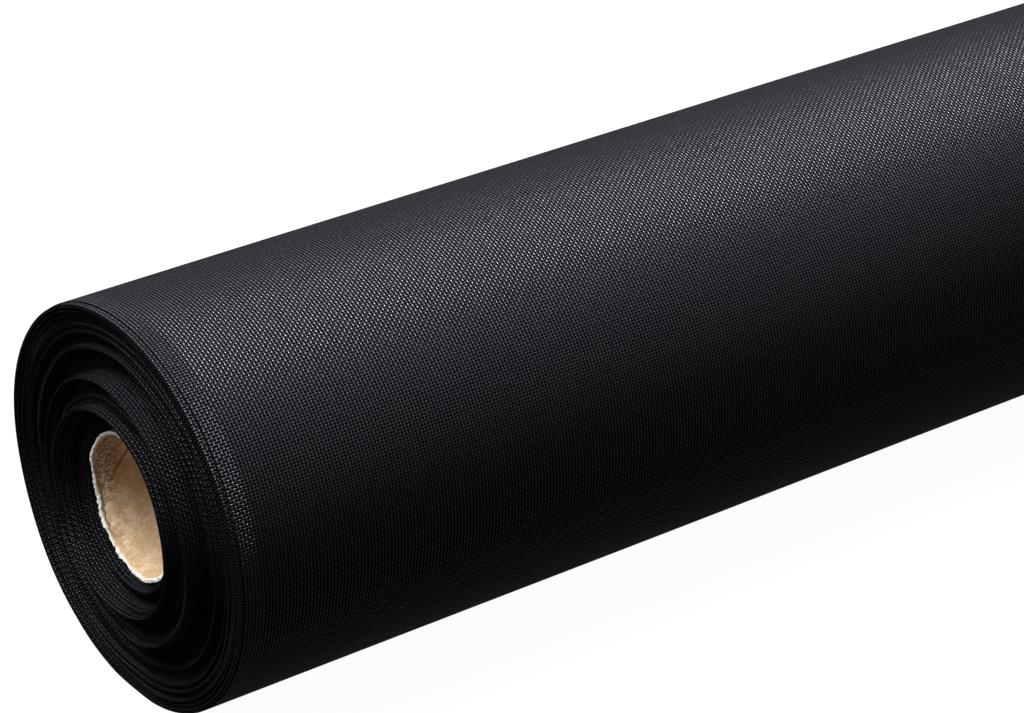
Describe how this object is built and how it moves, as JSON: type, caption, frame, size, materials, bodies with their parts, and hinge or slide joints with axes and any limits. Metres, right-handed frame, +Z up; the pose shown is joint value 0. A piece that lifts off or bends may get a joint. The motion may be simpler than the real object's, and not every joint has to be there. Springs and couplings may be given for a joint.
{
  "type": "roll of insect netting",
  "caption": "Fine woven insect netting wound on a cardboard tube, lying on its side with a rippled, stepped near end and an open bore.",
  "frame": {"origin": "on the resting surface, under the middle of the roll", "axes": "+X along the roll from its rippled near end to its far end, -Y towards the viewer's side, +Z up"},
  "size_m": [1.0118, 0.1308, 0.1289],
  "materials": {
    "netting": "fine black plain weave of monofilament, satin",
    "cardboard": "matte brown kraft board, spirally wound"
  },
  "bodies": {
    "root": {"netting_roll": "netting", "core_tube": "cardboard"}
  },
  "joints": []
}
